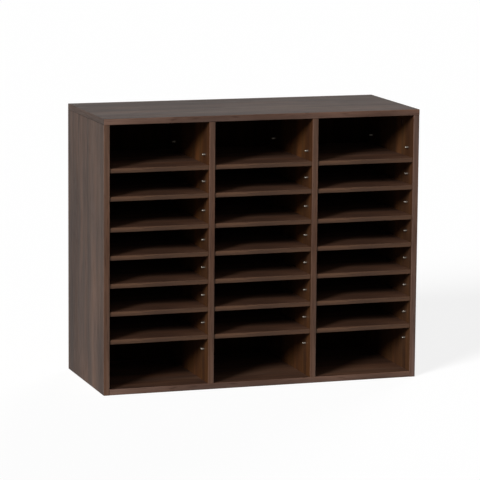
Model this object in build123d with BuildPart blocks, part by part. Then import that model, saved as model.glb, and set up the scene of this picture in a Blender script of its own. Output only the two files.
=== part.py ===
from build123d import *
import os
from math import hypot

# Literature organizer: a knock-down cabinet of laminated board, in millimetres.
# Three columns of adjustable shelves lie on metal pins between two sides and two dividers.
# The top covers the sides, the bottom stands between them and a thin back sits in grooves.
# The origin is on the floor in the middle of the footprint: +X right, +Y back, +Z up.

os.makedirs("parts", exist_ok=True)

# Overall size
width = 740
depth = 305
height = 617

# Boards
board = 13.5
shelf_thickness = 10
back_thickness = 3
arris = 0.8

# Back panel and its grooves
back_inset = 8
groove_depth = 6
groove_play = 0.2

# Columns from the left, shelf rows from the floor; one bay between the rows is taller
column_names = ["left", "middle", "right"]
shelf_rows = 7
bottom_bay = 100.5
top_bay = 97
tall_bay_extra = 6
rows_under_tall_bay = 5

# Shelves
shelf_setback = 3
shelf_side_gap = 0.5
shelf_back_gap = 2
shelf_rest_gap = 0.2

# Shelf pins: a support row under each shelf and a spare row in each bay
pin_diameter = 5
pin_reach = 7.5
pin_inset = 33
pin_end_gap = 1
pin_play = 0.1
spare_drop_share = 0.433
lowest_spare_drop = 24.6
highest_spare_rise = 33.2

# Small round stock repeats often, so it is drawn with a few flats
pin_sides = 8
bar_sides = 6
cam_sides = 12

# Cam bolts, and the discs that hook behind their heads
cam_inset = 75
cam_reach = 24
cam_diameter = 12
cam_skin = 2.5
cam_recess = 1
bolt_thread_diameter = 5
bolt_rod_diameter = 6
bolt_neck_diameter = 3.6
bolt_head_diameter = 6
bolt_head_length = 3
bolt_skin = 5
driver_length = 7.5
driver_width = 1.4
driver_depth = 1.5
fastener_play = 0.2
overrun = 1

# Cover caps over the cam discs that face a compartment
cap_diameter = 15
cap_thickness = 1

# Dowels
dowel_inset = 37
dowel_diameter = 6
dowel_length = 30
dowel_skin = 4

# Screws that hold the dividers from below
screw_inset = 60
screw_head_diameter = 10
screw_shank_diameter = 7
screw_thread_diameter = 5
screw_length = 50
screw_sink = 2
key_width = 4
key_depth = 1.6

# Places that follow from the sizes
columns = len(column_names)
inner_width = width - 2 * board
bay_width = (inner_width - (columns - 1) * board) / columns
column_pitch = bay_width + board
side_height = height - board
front = -depth / 2
back_rear = depth / 2 - back_inset
back_front = back_rear - back_thickness
back_middle = (back_front + back_rear) / 2
groove_width = back_thickness + groove_play
divider_depth = back_front - front
divider_middle = (front + back_front) / 2

# Heights of the shelves and of the pin rows
lowest_shelf = board + bottom_bay
highest_shelf = side_height - top_bay - shelf_thickness
row_pitch = (highest_shelf - lowest_shelf - tall_bay_extra) / (shelf_rows - 1)
shelf_levels = [
    lowest_shelf + row * row_pitch + tall_bay_extra * (row >= rows_under_tall_bay)
    for row in range(shelf_rows)
]
support_levels = [level - shelf_rest_gap - pin_diameter / 2 for level in shelf_levels]
spare_levels = [support_levels[0] - lowest_spare_drop]
for below, above in zip(support_levels, support_levels[1:]):
    spare_levels.append(above - spare_drop_share * (above - below))
spare_levels.append(support_levels[-1] + highest_spare_rise)
pin_rows = [front + pin_inset, back_front - pin_inset]
pin_plug = (board - pin_end_gap) / 2

# Fasteners lie along the local X axis of their joint, which starts where the two boards meet
cam_floor = cam_skin - board / 2
cam_height = board - cam_skin - cam_recess
bolt_thread = board - bolt_skin
bolt_rod = cam_reach - cam_diameter / 2 - fastener_play
bolt_neck = cam_reach - bolt_head_length / 2 - bolt_rod
dowel_in_face = board - dowel_skin
cam_rows = [-depth / 2 + cam_inset, depth / 2 - cam_inset]
dowel_rows = [-depth / 2 + dowel_inset, depth / 2 - dowel_inset]
screw_rows = [front + screw_inset, back_front - screw_inset]
divider_places = [(column - columns / 2) * column_pitch for column in range(1, columns)]


def top_joint(x, row, bored_face):
    """Where a board standing at x meets the top: X runs down, Z out of the bored face."""
    return Plane((x, row, side_height), x_dir=(0, 0, -1), z_dir=(bored_face, 0, 0))


def foot_joint(side, row):
    """Where the bottom's end meets a side: X runs into the bottom, Z out of its underside."""
    return Plane((side * inner_width / 2, row, board / 2), x_dir=(-side, 0, 0), z_dir=(0, 0, -1))


sides = (-1, 1)
side_middle = (width - board) / 2
top_cams = [top_joint(side * side_middle, row, -side) for side in sides for row in cam_rows]
foot_cams = [foot_joint(side, row) for side in sides for row in cam_rows]
cam_joints = top_cams + foot_cams
dowel_joints = [top_joint(side * side_middle, row, -side) for side in sides for row in dowel_rows]
dowel_joints += [foot_joint(side, row) for side in sides for row in dowel_rows]
dowel_joints += [top_joint(x, row, 1) for x in divider_places for row in screw_rows]
screw_joints = [
    Plane((x, row, 0), x_dir=(0, 0, 1), z_dir=(1, 0, 0)) for x in divider_places for row in screw_rows
]


def bar(start, length, diameter):
    """A straight round bar, or a bore for one, along the X axis."""
    with BuildSketch(Plane.YZ.offset(start)) as section:
        RegularPolygon(diameter / 2, bar_sides)
    extrude(section.sketch, amount=length)


def cam_blank(low, top, diameter, mode=Mode.ADD):
    """A short round about the cam's own axis, which stands across the bolt."""
    with BuildSketch(Plane.XY.offset(low)) as section:
        with Locations((cam_reach, 0)):
            RegularPolygon(diameter / 2, cam_sides)
    extrude(section.sketch, amount=top - low, mode=mode)


def screw_form(play):
    """A countersunk screw, or with play the bore for it: head, shank and thread."""
    with BuildSketch(Plane.YZ) as rim:
        RegularPolygon(screw_head_diameter / 2 + play, bar_sides)
    with BuildSketch(Plane.YZ.offset(screw_sink)) as shank:
        RegularPolygon(screw_shank_diameter / 2 + play, bar_sides)
    loft([rim.sketch, shank.sketch], ruled=True)
    bar(screw_sink, board - screw_sink, screw_shank_diameter + 2 * play)
    bar(board, screw_length - board + play, screw_thread_diameter + 2 * play)


# Cam bolt: thread in one board, rod in the edge of the other, neck and head in the disc
with BuildPart() as cam_bolt:
    bar(-bolt_thread, bolt_thread, bolt_thread_diameter)
    bar(0, bolt_rod, bolt_rod_diameter)
    bar(bolt_rod, bolt_neck, bolt_neck_diameter)
    bar(bolt_rod + bolt_neck, bolt_head_length, bolt_head_diameter)

# Cam disc: the head turns in a round chamber, the neck in a quarter slot, and the way in is
# a square mouth; after a quarter turn the slot's lips hook behind the head
head_room = bolt_head_diameter / 2 + fastener_play
neck_room = bolt_neck_diameter / 2 + fastener_play
chamber_diameter = 2 * (hypot(bolt_head_diameter / 2, bolt_head_length / 2) + 2 * fastener_play)
cam_top = cam_floor + cam_height

with BuildPart() as cam_disc:
    cam_blank(cam_floor, cam_top, cam_diameter)
    cam_blank(-head_room, head_room, chamber_diameter, Mode.SUBTRACT)
    with BuildSketch(Plane.XY.offset(-neck_room)):
        with Locations((cam_reach + neck_room, -neck_room)):
            Rectangle(cam_diameter, cam_diameter, align=(Align.MAX, Align.MIN))
    extrude(amount=2 * neck_room, mode=Mode.SUBTRACT)
    with BuildSketch(Plane.XY.offset(-head_room)):
        with Locations((cam_reach, 0)):
            Rectangle(2 * head_room, cam_diameter, align=(Align.CENTER, Align.MIN))
    extrude(amount=2 * head_room, mode=Mode.SUBTRACT)
    with BuildSketch(Plane.XY.offset(cam_top)):
        with Locations((cam_reach, 0)):
            Rectangle(driver_length, driver_width)
            Rectangle(driver_width, driver_length)
    extrude(amount=-driver_depth, mode=Mode.SUBTRACT)

# Bores for one cam joint: they cut the bolt's thread hole in one board, the rest in the other
with BuildPart() as cam_boring:
    bar(-bolt_thread - fastener_play, bolt_thread + fastener_play, bolt_thread_diameter + 2 * fastener_play)
    bar(0, cam_reach, bolt_rod_diameter + 2 * fastener_play)
    cam_blank(cam_floor, board / 2 + overrun, cam_diameter + 2 * fastener_play)

# Cover cap: a thin button whose spigot plugs the mouth of the cam's bore
with BuildPart() as cam_cap:
    cam_blank(cam_top, board / 2, cam_diameter)
    cam_blank(board / 2, board / 2 + cap_thickness, cap_diameter)

# Dowel and the bore for it
with BuildPart() as dowel:
    bar(-dowel_in_face, dowel_length, dowel_diameter)

with BuildPart() as dowel_boring:
    bar(-dowel_in_face - fastener_play, dowel_length + 2 * fastener_play, dowel_diameter + 2 * fastener_play)

# Divider screw with a key socket, and the bore for it
with BuildPart() as divider_screw:
    screw_form(0)
    with BuildSketch(Plane.YZ):
        RegularPolygon(key_width / 2, 6, major_radius=False)
    extrude(amount=key_depth, mode=Mode.SUBTRACT)

with BuildPart() as screw_boring:
    screw_form(fastener_play)


def bore_joints():
    """Cut every fastener's bore that reaches into the board at hand."""
    for joints, boring in (
        (cam_joints, cam_boring),
        (dowel_joints, dowel_boring),
        (screw_joints, screw_boring),
    ):
        with Locations(*joints):
            add(boring.part, mode=Mode.SUBTRACT)


def pin_pattern(levels, diameter):
    """Pins or their holes seen along X, a flat uppermost: one in each row at each level."""
    with Locations(*[(row, level) for level in levels for row in pin_rows]):
        RegularPolygon(diameter / 2, pin_sides, major_radius=False, rotation=180 / pin_sides)


pin_hole_diameter = pin_diameter + 2 * pin_play

# Sides: they run from the floor to the top, with blind pin holes and the back's groove
with BuildPart() as left_side:
    with BuildSketch():
        with Locations((-side_middle, 0)):
            Rectangle(board, depth)
    extrude(amount=side_height)
    chamfer(left_side.edges().filter_by(Axis.Z).group_by(Axis.Y)[0], arris)
    with BuildSketch():
        with Locations((-inner_width / 2, back_middle)):
            Rectangle(2 * groove_depth, groove_width)
    extrude(amount=side_height, mode=Mode.SUBTRACT)
    with BuildSketch(Plane.YZ.offset(-inner_width / 2)):
        pin_pattern(support_levels + spare_levels, pin_hole_diameter)
    extrude(amount=-board / 2, mode=Mode.SUBTRACT)
    bore_joints()

with BuildPart() as right_side:
    mirror(left_side.part, about=Plane.YZ)

# Dividers: they stand on the bottom, end at the back, and their pin holes go right through
with BuildPart() as left_divider:
    with BuildSketch(Plane.XY.offset(board)):
        with Locations((divider_places[0], divider_middle)):
            Rectangle(board, divider_depth)
    extrude(amount=side_height - board)
    chamfer(left_divider.edges().filter_by(Axis.Z).group_by(Axis.Y)[0], arris)
    with BuildSketch(Plane.YZ.offset(divider_places[0])):
        pin_pattern(support_levels + spare_levels, pin_hole_diameter)
    extrude(amount=board / 2, both=True, mode=Mode.SUBTRACT)
    bore_joints()

with BuildPart() as right_divider:
    mirror(left_divider.part, about=Plane.YZ)

# Top: it covers the sides, and its groove stops short of both ends
with BuildPart() as top_panel:
    with BuildSketch(Plane.XY.offset(side_height)):
        Rectangle(width, depth)
    extrude(amount=board)
    chamfer(top_panel.edges().filter_by(Axis.X).group_by(Axis.Y)[0], arris)
    chamfer(top_panel.edges().filter_by(Axis.Y).group_by(Axis.X)[0], arris)
    chamfer(top_panel.edges().filter_by(Axis.Y).group_by(Axis.X)[-1], arris)
    with BuildSketch(Plane.XY.offset(side_height)):
        with Locations((0, back_middle)):
            Rectangle(inner_width + 2 * groove_depth, groove_width)
    extrude(amount=groove_depth, mode=Mode.SUBTRACT)
    bore_joints()

# Bottom: it stands between the sides, flat on the floor
with BuildPart() as bottom_panel:
    with BuildSketch():
        Rectangle(inner_width, depth)
    extrude(amount=board)
    chamfer(bottom_panel.edges().filter_by(Axis.X).group_by(Axis.Y)[0], arris)
    with BuildSketch(Plane.XY.offset(board)):
        with Locations((0, back_middle)):
            Rectangle(inner_width, groove_width)
    extrude(amount=-groove_depth, mode=Mode.SUBTRACT)
    bore_joints()

# Back: a thin sheet that reaches into the grooves on all four sides
with BuildPart() as back_panel:
    with BuildSketch(Plane.XY.offset(board - groove_depth + groove_play)):
        with Locations((0, back_middle)):
            Rectangle(inner_width + 2 * (groove_depth - groove_play), back_thickness)
    extrude(amount=side_height - board + 2 * (groove_depth - groove_play))


def shelf(column, level):
    """A loose shelf: its underside lies on four pins and its front edge stands back a little."""
    shelf_depth = divider_depth - shelf_setback - shelf_back_gap
    shelf_middle = front + shelf_setback + shelf_depth / 2
    with BuildPart() as piece:
        with BuildSketch(Plane.XY.offset(level)):
            with Locations(((column - (columns - 1) / 2) * column_pitch, shelf_middle)):
                Rectangle(bay_width - 2 * shelf_side_gap, shelf_depth)
        extrude(amount=shelf_thickness)
        chamfer(piece.edges().filter_by(Axis.X).group_by(Axis.Y)[0], arris)
    return piece


def pins(column, levels):
    """The pins in both walls of a column: each is half in its hole and half in the bay."""
    bay_start = (column - columns / 2) * column_pitch + board / 2
    with BuildPart() as group:
        for start in (bay_start - pin_plug, bay_start + bay_width - pin_reach):
            with BuildSketch(Plane.YZ.offset(start)):
                pin_pattern(levels, pin_diameter)
            extrude(amount=pin_plug + pin_reach)
    return group


def fasteners(joints, fastener):
    """One group of a fastener, repeated at each of its joints."""
    with BuildPart() as group:
        with Locations(*joints):
            add(fastener.part)
    return group


def finish(piece, name):
    piece.part.label = name
    export_step(piece.part, f"parts/{name}.step")


finish(left_side, "left_side")
finish(right_side, "right_side")
finish(left_divider, "left_divider")
finish(right_divider, "right_divider")
finish(top_panel, "top_panel")
finish(bottom_panel, "bottom_panel")
finish(back_panel, "back_panel")
for column, column_name in enumerate(column_names):
    for row, level in enumerate(shelf_levels):
        finish(shelf(column, level), f"{column_name}_shelf_{row + 1}")
    finish(pins(column, support_levels), f"{column_name}_support_pins")
    finish(pins(column, spare_levels), f"{column_name}_spare_pins")
finish(fasteners(cam_joints, cam_bolt), "cam_bolts")
finish(fasteners(cam_joints, cam_disc), "cam_discs")
finish(fasteners(top_cams, cam_cap), "cam_caps")
finish(fasteners(dowel_joints, dowel), "dowels")
finish(fasteners(screw_joints, divider_screw), "divider_screws")
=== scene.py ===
# %% [markdown]
# Literature organizer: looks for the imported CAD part
#
# The real object is a cabinet of dark walnut laminated board with three columns of loose shelves, which lie
# on small bright pins. The CAD model already has every board at its real size, so this script moves nothing.
# It gives each board its printed wood finish, makes the round pins and caps that the CAD model holds as plain
# flats, and sets up a white studio with the camera where the photographer stood.

import bpy
import numpy as np
from mathutils import Euler, Matrix, Vector


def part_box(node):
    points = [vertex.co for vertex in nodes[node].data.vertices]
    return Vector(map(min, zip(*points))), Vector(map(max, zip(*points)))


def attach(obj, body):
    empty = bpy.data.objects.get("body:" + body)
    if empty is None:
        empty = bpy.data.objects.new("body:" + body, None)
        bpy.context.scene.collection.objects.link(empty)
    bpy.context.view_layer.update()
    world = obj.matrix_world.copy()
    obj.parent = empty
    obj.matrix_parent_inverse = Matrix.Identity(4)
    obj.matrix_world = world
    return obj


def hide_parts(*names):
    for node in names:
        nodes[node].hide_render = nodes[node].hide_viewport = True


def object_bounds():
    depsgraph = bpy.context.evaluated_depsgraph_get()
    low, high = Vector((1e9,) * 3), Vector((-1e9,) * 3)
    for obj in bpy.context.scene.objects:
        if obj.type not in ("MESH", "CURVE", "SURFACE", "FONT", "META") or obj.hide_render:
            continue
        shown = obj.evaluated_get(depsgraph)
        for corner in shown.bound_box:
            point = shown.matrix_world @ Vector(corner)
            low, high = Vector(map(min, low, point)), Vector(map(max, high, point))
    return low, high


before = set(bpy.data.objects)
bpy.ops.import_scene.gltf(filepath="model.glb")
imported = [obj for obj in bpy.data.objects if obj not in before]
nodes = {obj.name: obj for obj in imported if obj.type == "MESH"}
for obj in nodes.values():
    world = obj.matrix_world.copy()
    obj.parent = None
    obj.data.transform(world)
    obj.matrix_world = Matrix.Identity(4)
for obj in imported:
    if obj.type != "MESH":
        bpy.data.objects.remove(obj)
cad_low, cad_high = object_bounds()
print("CAD box in metres:", [round(v, 4) for v in (*cad_low, *cad_high)], "with", len(nodes), "nodes")

# %% [markdown]
# The camera
#
# The picture was taken with a long lens from over six metres away, a little to the left and a little above,
# so the edges of the cabinet stay almost parallel. A camera could be placed by eye, but then every line would
# be a few pixels out. Here it comes from a fit to the cabinet's outer corners: three angles, and where the
# middle of the front's bottom edge lies as seen from the lens.

# %% Place the camera
yaw = np.radians(-18.3132)
pitch = np.radians(9.37395)
roll = np.radians(0.47058)
front_foot_seen = Vector((0.049798, -0.329326, -6.414862))
picture_width = 480
focal_pixels = 2844.08
sensor_width = 36.0

swing = Matrix.Rotation(yaw, 4, "Z")
tilt = Matrix.Rotation(np.pi / 2 - pitch, 4, "X")
lean = Matrix.Rotation(roll, 4, "Z")
aim = swing @ tilt @ lean
front_foot = Vector((0, cad_low.y, cad_low.z))
eye = front_foot - aim.to_3x3() @ front_foot_seen

camera_data = bpy.data.cameras.new("photo_camera")
camera_data.sensor_width = sensor_width
camera_data.lens = focal_pixels / picture_width * sensor_width
camera = bpy.data.objects.new("photo_camera", camera_data)
camera.matrix_world = Matrix.Translation(eye) @ aim
bpy.context.scene.collection.objects.link(camera)
bpy.context.scene.camera = camera
print("camera at", [round(v, 3) for v in eye], "with a lens of", round(camera_data.lens, 1), "mm")

# %% [markdown]
# Helpers for materials
#
# Colours are picked as screen values, such as #4e3527, but light adds up in linear values, so one function
# turns the first into the second. Another adds a node to a material, with its settings and links, so that a
# material reads as a list of layers.

# %% Helpers for colours and nodes
millimetre = 0.001
noise_low = 0.3
noise_high = 0.7


def linear(colour):
    """A screen colour as linear red, green, blue and alpha.

    A channel v from 0 to 1 becomes v/12.92 up to 0.04045, and ((v+0.055)/1.055)^2.4 above it.
    """
    screen = np.array([int(colour[i:i + 2], 16) for i in (1, 3, 5)]) / 255
    rgb = np.where(screen <= 0.04045, screen / 12.92, ((screen + 0.055) / 1.055) ** 2.4)
    return (*map(float, rgb), 1.0)


def add(tree, kind, links=None, stops=(), **settings):
    """Adds a node. Links fill its sockets with a value or another node's output, stops fill a colour ramp."""
    node = tree.nodes.new("ShaderNode" + kind)
    for name, value in settings.items():
        setattr(node, name, value)
    sockets = {socket.identifier: socket for socket in node.inputs}
    for name, value in (links or {}).items():
        if isinstance(value, bpy.types.NodeSocket):
            tree.links.new(value, sockets[name])
        else:
            sockets[name].default_value = value
    for i, (place, colour) in enumerate(stops):
        elements = node.color_ramp.elements
        element = elements[i] if i < 2 else elements.new(place)
        element.position = place
        element.color = linear(colour)
    return node


def material(name):
    """A new material with an empty node tree, and that tree."""
    made = bpy.data.materials.new(name)
    made.use_nodes = True
    made.node_tree.nodes.clear()
    return made, made.node_tree


print("dark walnut", "#4e3527", "is", [round(v, 3) for v in linear("#4e3527")[:3]], "in linear light")

# %% [markdown]
# Walnut laminate
#
# The boards are chipboard with a printed melamine paper on both faces and a matching band glued round the
# edges. The print is a straight-grained walnut: broad stripes a few centimetres wide that lean to red or to
# grey, narrower streaks along them, and short dark pores. The surface is satin, so a face seen at a low angle
# looks greyer than one seen straight on.
#
# A picture of wood would need an image file. Noise that is stretched along the grain gives the same streaks.
# It fills space, so each board is cut from it as from a log, and two boards that are cut from the same place
# look the same. The band on the front edge is a strip of its own, cut from another place, and its colour is
# painted a little lighter than the faces: painted light on the front edges.

# %% The walnut finish
front_limit = -0.4
end_limit = 0.5
drift_length = 0.25
drift_reach = 24 * millimetre


def walnut_laminate(board, turn, cuts, face, front):
    """Printed walnut on satin melamine, with one colour on the board's faces and one on its front band.

    Turn brings the grain onto the pattern's X. The cuts are the places in the pattern, in metres, where the
    middle of the board's front edge lies: one for the faces and one for the band.
    """
    made, tree = material("walnut_laminate_" + board)
    coordinates = add(tree, "TexCoord")
    facing = add(tree, "SeparateXYZ", {"Vector": coordinates.outputs["Normal"]}).outputs["Y"]
    band = add(tree, "Math", {"Value": facing, "Value_001": front_limit},
               operation="LESS_THAN").outputs["Value"]
    # The front band's colour is painted lighter than the faces' colour: painted light on the front edges.
    wood = add(tree, "Mix", {"Factor_Float": band, "A_Color": linear(face), "B_Color": linear(front)},
               data_type="RGBA").outputs["Result"]

    low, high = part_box(board)
    front_edge = Vector(((low.x + high.x) / 2, low.y, (low.z + high.z) / 2))
    middle = Euler(turn).to_matrix() @ front_edge
    on_face, on_band = [add(tree, "Mapping", {"Vector": coordinates.outputs["Object"], "Rotation": turn,
                                              "Location": Vector(cut) - middle}).outputs["Vector"]
                        for cut in cuts]
    grain = add(tree, "Mix", {"Factor_Float": band, "A_Vector": on_face, "B_Vector": on_band},
                data_type="VECTOR").outputs["Result"]

    # A cut across the grain would show dots. The band glued over it has its own grain, along the edge.
    turned_normal = add(tree, "Mapping", {"Vector": coordinates.outputs["Normal"], "Rotation": turn},
                        vector_type="NORMAL").outputs["Vector"]
    across = add(tree, "SeparateXYZ", {"Vector": turned_normal}).outputs["X"]
    either_way = add(tree, "Math", {"Value": across}, operation="ABSOLUTE").outputs["Value"]
    end = add(tree, "Math", {"Value": either_way, "Value_001": end_limit},
              operation="GREATER_THAN").outputs["Value"]
    quarter_turn = (0.0, 0.0, np.pi / 2)
    along_edge = add(tree, "Mapping", {"Vector": grain, "Rotation": quarter_turn}).outputs["Vector"]
    grain = add(tree, "Mix", {"Factor_Float": end, "A_Vector": grain, "B_Vector": along_edge},
                data_type="VECTOR").outputs["Result"]

    # The grain wanders sideways by about a centimetre over a quarter of a metre.
    drift = add(tree, "TexNoise", {"Vector": grain, "Scale": 1 / drift_length, "Detail": 1.0})
    sideways = (0.0, drift_reach, drift_reach)
    grain = add(tree, "VectorMath", {"Vector": drift.outputs["Color"], "Vector_001": sideways,
                                     "Vector_002": grain}, operation="MULTIPLY_ADD").outputs["Vector"]

    # Each layer of the print: its length and width in metres, its detail, and how far it darkens or tints the
    # wood. Real pores are 0.2 mm wide, too fine to show, so they are drawn ten times as wide.
    noises = []
    for length, width, detail, stops in (
            (0.80, 0.042, 2.0, ((0.28, "#b2aaa5"), (0.70, "#ffffff"), (0.48, "#d8d4d1"))),
            (0.60, 0.030, 1.0, ((0.35, "#fff4ea"), (0.65, "#eff5ff"))),
            (0.16, 0.036, 1.0, ((0.30, "#c4bcb5"), (0.68, "#ffffff"))),
            (0.50, 0.008, 3.0, ((0.30, "#d8d3ce"), (0.60, "#ffffff"), (0.45, "#f0eeec"))),
            (0.045, 0.002, 1.0, ((0.60, "#ffffff"), (0.74, "#b8a89c")))):
        size = (1 / length, 1 / width, 1 / width)
        stretched = add(tree, "Mapping", {"Vector": grain, "Scale": size}).outputs["Vector"]
        noise = add(tree, "TexNoise", {"Vector": stretched, "Scale": 1.0, "Detail": detail,
                                       "Roughness": 0.55}).outputs["Fac"]
        layer = add(tree, "ValToRGB", {"Fac": noise}, stops=stops).outputs["Color"]
        wood = add(tree, "Mix", {"Factor_Float": 1.0, "A_Color": wood, "B_Color": layer},
                   data_type="RGBA", blend_type="MULTIPLY").outputs["Result"]
        noises.append(noise)
    stripes, pores = noises[0], noises[-1]

    # Dark stripes are a little duller than light ones, which shows on faces seen at a low angle.
    sheen = add(tree, "MapRange", {"Value": stripes, "From Min": noise_low, "From Max": noise_high,
                                   "To Min": 0.20, "To Max": 0.32}).outputs["Result"]
    roughness = add(tree, "MapRange", {"Value": pores, "From Min": noise_low, "From Max": noise_high,
                                       "To Min": 0.60, "To Max": 0.70}).outputs["Result"]
    relief = add(tree, "Bump", {"Height": pores, "Strength": 0.25, "Distance": 0.1 * millimetre},
                 invert=True).outputs["Normal"]
    surface = add(tree, "BsdfPrincipled", {"Base Color": wood, "Roughness": roughness, "IOR": 1.5,
                                           "Specular IOR Level": sheen, "Normal": relief})
    add(tree, "OutputMaterial", {"Surface": surface.outputs["BSDF"]})
    return made


print("the grain drifts", drift_reach, "m sideways over", drift_length, "m at most")

# %% [markdown]
# Dressing the boards
#
# A factory prints one paper and cuts many boards from it. In the photo the front edges of all shelves show
# the same light and dark stretches, and so do those of the four uprights, and those of the top and bottom.
# Each kind of board therefore has one place in the print, picked so that the stretches fall about where they
# do in the photo. The grain runs along each board: up the uprights, and from left to right on the others. The
# colours were measured board by board, since the photo's light varies a little from one to the next.

# %% Dress the boards
columns = ("left", "middle", "right")
shelves = [f"{column}_shelf_{row}" for column in columns for row in range(1, 8)]
upright = (0.0, np.pi / 2, 0.0)
level = (0.0, 0.0, 0.0)
upright_band_cut = (1.632, 15.874, 2.0)
side_cuts = ((1.132, 13.49, 0.8), upright_band_cut)
wall_cuts = ((1.172, 6.702, 0.0), upright_band_cut)
level_cuts = ((1.37, 13.37, 3.2), (1.02, 5.866, 0.8))
shelf_cuts = ((0.73, 3.162, 2.8), (0.73, 3.162, 2.8))
# Each board's face and band colours hold painted light and shade: they are set lighter or darker board by
# board to reach a brightness that these lamps don't give, and the bands are painted lighter than the faces.
for boards, turn, cuts, face, front in (
        (["left_side"], upright, side_cuts, "#4e3829", "#7b5e4c"),
        (["left_divider", "right_divider"], upright, wall_cuts, "#4e2d0b", "#755948"),
        (["right_side"], upright, wall_cuts, "#4d2f13", "#7d6458"),
        (["top_panel"], level, level_cuts, "#493528", "#866a5c"),
        (["bottom_panel"], level, level_cuts, "#5e412e", "#866b5d"),
        (shelves, level, shelf_cuts, "#5e3f2b", "#614530")):
    for board in boards:
        nodes[board].data.materials[0] = walnut_laminate(board, turn, cuts, face, front)
    print("walnut laminate", face, "with a front band", front, "on", len(boards), "of", boards[0])

# %% [markdown]
# Hardboard back
#
# The back is a 3 mm sheet of hardboard in grooves. Its front carries a dark printed foil, set near black as
# painted shade for the deep ends of the bays, and its rear is raw: brown pressed fibre with the print of the
# wire screen that it was pressed on. One material does both, and picks the side by the direction in which the
# surface faces.

# %% The back's finish
rear_limit = 0.5
foil_streak = (0.02, 1.0, 0.9)
fleck_length = 6 * millimetre
patch_width = 0.3
screen_pitch = 3.9 * millimetre
wire_width = 0.6 * millimetre


def hardboard(name):
    """Foil on the side that faces -Y, raw fibre with a screen print on the side that faces +Y."""
    made, tree = material(name)
    coordinates = add(tree, "TexCoord")
    place = coordinates.outputs["Object"]
    facing = add(tree, "SeparateXYZ", {"Vector": coordinates.outputs["Normal"]}).outputs["Y"]
    rear = add(tree, "Math", {"Value": facing, "Value_001": rear_limit},
               operation="GREATER_THAN").outputs["Value"]

    # The foil is almost black, with upright streaks: its near-black colour is painted shade for the deep
    # bays.
    foil_size = [1 / length for length in foil_streak]
    foil_grain = add(tree, "Mapping", {"Vector": place, "Scale": foil_size}).outputs["Vector"]
    foil_noise = add(tree, "TexNoise", {"Vector": foil_grain, "Scale": 1.0, "Detail": 3.0}).outputs["Fac"]
    foil_and_painted_shade = add(tree, "ValToRGB", {"Fac": foil_noise},
               stops=((noise_low, "#20140d"), (noise_high, "#332116"))).outputs["Color"]

    # Pressed fibre is a felt of flecks a few millimetres long, darker in some patches than in others.
    flecks = add(tree, "TexNoise", {"Vector": place, "Scale": 1 / fleck_length, "Detail": 4.0,
                                    "Roughness": 0.7}).outputs["Fac"]
    felt = add(tree, "ValToRGB", {"Fac": flecks},
               stops=((noise_low, "#7c593b"), (noise_high, "#9a7650"))).outputs["Color"]
    patches = add(tree, "TexNoise", {"Vector": place, "Scale": 1 / patch_width, "Detail": 1.0}).outputs["Fac"]
    shade = add(tree, "ValToRGB", {"Fac": patches},
                stops=((0.35, "#efece9"), (0.65, "#ffffff"))).outputs["Color"]
    fibre = add(tree, "Mix", {"Factor_Float": 1.0, "A_Color": felt, "B_Color": shade},
                data_type="RGBA", blend_type="MULTIPLY").outputs["Result"]

    # The real screen has a wire every 1.3 mm. It is drawn three times as coarse, so that it shows.
    stood_up = (np.pi / 2, 0.0, 0.0)
    sheet = add(tree, "Mapping", {"Vector": place, "Rotation": stood_up}).outputs["Vector"]
    wires = add(tree, "TexBrick", {"Vector": sheet, "Scale": 1.0, "Brick Width": screen_pitch,
                                   "Row Height": screen_pitch, "Mortar Size": wire_width,
                                   "Mortar Smooth": 1.0}, offset=0.0).outputs["Fac"]
    pressed = add(tree, "Mix", {"Factor_Float": wires, "A_Color": fibre, "B_Color": linear("#664829")},
                  data_type="RGBA").outputs["Result"]
    colour = add(tree, "Mix", {"Factor_Float": rear, "A_Color": foil_and_painted_shade, "B_Color": pressed},
                 data_type="RGBA").outputs["Result"]
    relief = add(tree, "Bump", {"Height": wires, "Strength": 0.4, "Distance": 0.2 * millimetre},
                 invert=True).outputs["Normal"]
    surface = add(tree, "BsdfPrincipled", {"Base Color": colour, "Roughness": 0.8, "IOR": 1.5,
                                           "Specular IOR Level": 0.03, "Normal": relief})
    add(tree, "OutputMaterial", {"Surface": surface.outputs["BSDF"]})
    return made


nodes["back_panel"].data.materials[0] = hardboard("hardboard_back")

# %% [markdown]
# Turned parts
#
# Pins and caps are round, about an axis that points straight out of a wall. A lathe makes such a part from
# one profile, and so does this code: the profile is swept round the axis, for all the parts of a group in one
# array. Parts on a right-hand wall point left. Those are turned half round, which keeps their faces pointing
# outwards. The CAD model has these parts with flats, so their places are read from its corners.

# %% Helpers for turned parts and fittings
row_gap = 50 * millimetre
height_gap = 20 * millimetre
crease_degrees = 40


def middles(values, gap):
    """Sorts values, cuts them wherever the step is over gap, and gives the middle of each run."""
    ordered = np.sort(values)
    runs = np.split(ordered, np.flatnonzero(np.diff(ordered) > gap) + 1)
    return np.array([(run[0] + run[-1]) / 2 for run in runs])


def places(node, left_wall, right_wall):
    """Where a node's parts come out of two facing walls, and the way each points: 1 right and -1 left."""
    corners = np.array([v.co for v in nodes[node].data.vertices])
    rows = middles(corners[:, 1], row_gap)
    heights = middles(corners[:, 2], height_gap)
    x, y, z = np.meshgrid((left_wall, right_wall), rows, heights, indexing="ij")
    feet = np.stack((x.ravel(), y.ravel(), z.ravel()), axis=1)
    return feet, np.where(feet[:, 0] < (left_wall + right_wall) / 2, 1, -1)


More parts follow.
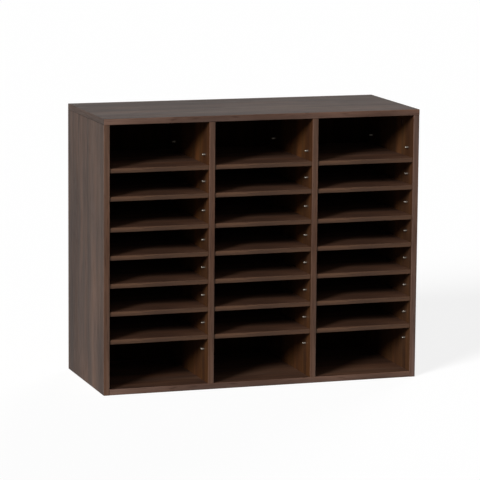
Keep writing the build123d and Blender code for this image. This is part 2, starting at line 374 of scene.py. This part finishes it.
def turned(profile, sides, feet, ways):
    """Point (s, r) of the profile at angle a becomes foot + (way*s, r*cos a, way*r*sin a), for every foot."""
    along, radius = np.asarray(profile).T
    angle = np.arange(sides) * 2 * np.pi / sides
    way = np.asarray(ways, float)[:, None, None]
    x = way * along[None, :, None] + 0 * angle
    y = radius[None, :, None] * np.cos(angle) + 0 * way
    z = way * radius[None, :, None] * np.sin(angle)
    points = np.stack((x, y, z), axis=-1) + np.asarray(feet)[:, None, None, :]
    index = np.arange(points[..., 0].size).reshape(points.shape[:3])
    after = np.roll(index, -1, axis=2)
    quads = np.stack((index[:, :-1], after[:, :-1], after[:, 1:], index[:, 1:]), axis=-1).reshape(-1, 4)
    ends = np.concatenate((index[:, 0, ::-1], index[:, -1]))
    return points.reshape(-1, 3), quads.tolist() + ends.tolist()


def piece(name, points, faces, finish):
    """A mesh object at the origin with its place in its points, smooth except at its sharper creases."""
    mesh = bpy.data.meshes.new(name)
    mesh.from_pydata(points, [], faces)
    mesh.polygons.foreach_set("use_smooth", np.ones(len(faces), bool))
    mesh.set_sharp_from_angle(angle=np.radians(crease_degrees))
    mesh.materials.append(finish)
    made = bpy.data.objects.new(name, mesh)
    bpy.context.scene.collection.objects.link(made)
    return made


def fitting_finish(name, metallic, dark, light, smooth, dull, grain):
    """A small hard part: colour and roughness vary together over grains of the given size in metres."""
    made, tree = material(name)
    place = add(tree, "TexCoord").outputs["Object"]
    grains = add(tree, "TexNoise", {"Vector": place, "Scale": 1 / grain, "Detail": 3.0}).outputs["Fac"]
    colour = add(tree, "ValToRGB", {"Fac": grains},
                 stops=((noise_low, dark), (noise_high, light))).outputs["Color"]
    roughness = add(tree, "MapRange", {"Value": grains, "From Min": noise_low, "From Max": noise_high,
                                       "To Min": smooth, "To Max": dull}).outputs["Result"]
    relief = add(tree, "Bump", {"Height": grains, "Strength": 0.15,
                                "Distance": 0.1 * millimetre}).outputs["Normal"]
    surface = add(tree, "BsdfPrincipled", {"Base Color": colour, "Metallic": metallic,
                                           "Roughness": roughness, "Normal": relief})
    add(tree, "OutputMaterial", {"Surface": surface.outputs["BSDF"]})
    return made


print("creases over", crease_degrees, "degrees stay sharp")

# %% [markdown]
# Shelf pins
#
# Each pin is a plain peg of nickel-plated steel with a rounded end. A little under half of it sits in the
# wall's hole, and the shelf lies on the rest. Every column has its pins in two groups: those that carry a
# shelf, and the spare ones in the compartments.

# %% Turn the pins
# Dull nickel on turned steel: a warm grey metal with a haze that spreads its highlights.
nickel = fitting_finish("nickel_plated_steel", metallic=1.0, dark="#7d766e", light="#948d84",
                        smooth=0.30, dull=0.42, grain=3 * millimetre)
walls = {"left": ("left_side", "left_divider"), "middle": ("left_divider", "right_divider"),
         "right": ("right_divider", "right_side")}
pin_sides = 10
pin_profile = np.array(((-6.0, 2.5), (6.3, 2.5), (7.1, 2.1), (7.5, 1.2))) * millimetre
for column in columns:
    left_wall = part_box(walls[column][0])[1].x
    right_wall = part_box(walls[column][1])[0].x
    for group in ("support", "spare"):
        node = f"{column}_{group}_pins"
        feet, ways = places(node, left_wall, right_wall)
        points, faces = turned(pin_profile, pin_sides, feet, ways)
        pins = piece(f"turned_{node}", points, faces, nickel)
        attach(pins, "carcass")
        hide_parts(node)
        print(pins.name, len(feet), "pins,", len(faces), "faces")

# %% [markdown]
# Cover caps and the fittings behind them
#
# The sides are pulled up against the top and the bottom by cam bolts: the head of each bolt is hooked by a
# zinc disc that turns in the board. Where a disc would show in a compartment, a thin brown plastic cap covers
# it. The caps are turned like the pins, with a rounded rim. The bolts, discs, dowels and screws are almost
# out of sight, so they keep their CAD shapes and only get the finish of their metal or wood.

# %% Turn the caps and finish the fittings
# Moulded brown plastic, matched to the laminate: a soft sheen over a fine spark-eroded grain.
cap_plastic = fitting_finish("moulded_brown_plastic", metallic=0.0, dark="#38241a", light="#432c20",
                             smooth=0.42, dull=0.56, grain=0.6 * millimetre)
cap_sides = 24
cap_plug = ((-0.8, 5.8), (0.0, 5.8))
cap_rim = ((0.0, 7.5), (0.45, 7.5), (0.8, 7.1), (1.0, 6.2))
cap_profile = np.array((*cap_plug, *cap_rim)) * millimetre
left_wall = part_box("left_side")[1].x
right_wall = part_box("right_side")[0].x
feet, ways = places("cam_caps", left_wall, right_wall)
points, faces = turned(cap_profile, cap_sides, feet, ways)
caps = piece("turned_cam_caps", points, faces, cap_plastic)
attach(caps, "carcass")
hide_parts("cam_caps")

# Die-cast zinc: a blue-grey metal, dull and a little blotchy as it leaves the mould.
cast_zinc = fitting_finish("die_cast_zinc", metallic=1.0, dark="#8b8d90", light="#a3a5a8",
                           smooth=0.42, dull=0.58, grain=1.5 * millimetre)
# Bright zinc plate: pale and bluish, with smoother and hazier patches.
zinc_plate = fitting_finish("zinc_plated_steel", metallic=1.0, dark="#a9adb3", light="#c3c6c9",
                            smooth=0.24, dull=0.40, grain=2.5 * millimetre)
# Raw beech: a pale pinkish wood, matt, with short darker flecks.
beech = fitting_finish("raw_beech", metallic=0.0, dark="#b58a5f", light="#cda67c",
                       smooth=0.65, dull=0.8, grain=1.2 * millimetre)
nodes["cam_discs"].data.materials[0] = cast_zinc
nodes["cam_bolts"].data.materials[0] = zinc_plate
nodes["divider_screws"].data.materials[0] = zinc_plate
nodes["dowels"].data.materials[0] = beech
print(caps.name, len(feet), "caps,", len(faces), "faces")

# %% [markdown]
# Studio
#
# The organizer was photographed on plain white. The floor is a pale sheet that keeps the cabinet's soft
# shadow, and it is lifted to white only for what the camera and reflections see, so that the light on the
# wood stays at a plain level. The sky round it does the same.

# %% The floor and the white surroundings
pure_white = (1.0, 1.0, 1.0, 1.0)
floor_reach = 40.0
floor_drop = 0.2 * millimetre
floor_lift = 0.85
ambient_level = 0.02
backdrop_level = 1.0


def seen_directly(tree):
    """1 for rays from the camera, a reflection or through glass, and 0 for light that falls on a surface."""
    path = add(tree, "LightPath").outputs
    seen = add(tree, "Math", {"Value": path["Is Camera Ray"], "Value_001": path["Is Glossy Ray"]},
               operation="MAXIMUM").outputs["Value"]
    return add(tree, "Math", {"Value": seen, "Value_001": path["Is Transmission Ray"]},
               operation="MAXIMUM").outputs["Value"]


floor_corners = np.array(((-1, -1, 0), (1, -1, 0), (1, 1, 0), (-1, 1, 0))) * floor_reach
floor_corners[:, 2] = cad_low.z - floor_drop
paper, tree = material("studio_paper")
pale = add(tree, "BsdfDiffuse", {"Color": linear("#a8a8a6")})
soft = add(tree, "BsdfDiffuse", {"Color": linear("#808080")})
lift = add(tree, "Emission", {"Color": pure_white, "Strength": floor_lift})
white = add(tree, "AddShader", {"Shader": soft.outputs["BSDF"], "Shader_001": lift.outputs["Emission"]})
shown = add(tree, "MixShader", {"Fac": seen_directly(tree), "Shader": pale.outputs["BSDF"],
                                "Shader_001": white.outputs["Shader"]})
add(tree, "OutputMaterial", {"Surface": shown.outputs["Shader"]})
floor = piece("studio_floor", floor_corners.tolist(), [[0, 1, 2, 3]], paper)

world = bpy.data.worlds.new("white_studio")
bpy.context.scene.world = world
world.use_nodes = True
tree = world.node_tree
tree.nodes.clear()
ambient = add(tree, "Background", {"Color": pure_white, "Strength": ambient_level})
backdrop = add(tree, "Background", {"Color": pure_white, "Strength": backdrop_level})
sky = add(tree, "MixShader", {"Fac": seen_directly(tree), "Shader": ambient.outputs["Background"],
                              "Shader_001": backdrop.outputs["Background"]})
add(tree, "OutputWorld", {"Surface": sky.outputs["Shader"]})
print("floor", 2 * floor_reach, "m square, light from all round", ambient_level)

# %% [markdown]
# Lamps
#
# In the photo the front edges are lit most, then the left side and the top, and the light reaches about 10 cm
# into each bay before the shelf above cuts it off. That places one large softbox in front, to the left and
# above. A second, weaker one stands behind on the right, so that the rear isn't lost in the dark. A lamp on a
# stand would light the near floor more than the far floor, so both are far away, as wide discs in the sky.

# %% Hang the softboxes
def softbox(name, direction, width_degrees, level):
    """A far disc of light. Level 1 lights a facing surface so that its colour shows as written."""
    data = bpy.data.lights.new(name, "SUN")
    data.angle = np.radians(width_degrees)
    data.energy = level * np.pi
    lamp = bpy.data.objects.new(name, data)
    lamp.matrix_world = Vector(direction).to_track_quat("Z", "Y").to_matrix().to_4x4()
    bpy.context.scene.collection.objects.link(lamp)
    print(name, "at level", level, "from", direction)
    return lamp


softbox("key_softbox", direction=(-0.726, -0.558, 0.402), width_degrees=17, level=1.4)
rear_lamp = softbox("rear_softbox", direction=(0.62, 0.78, 0.08), width_degrees=30, level=0.9)
rear_lamp.visible_glossy = False

# %% [markdown]
# Looks
#
# The picture keeps its plain colours: the standard view and no grading.

# %% Settle the view
bpy.context.scene.view_settings.view_transform = "Standard"
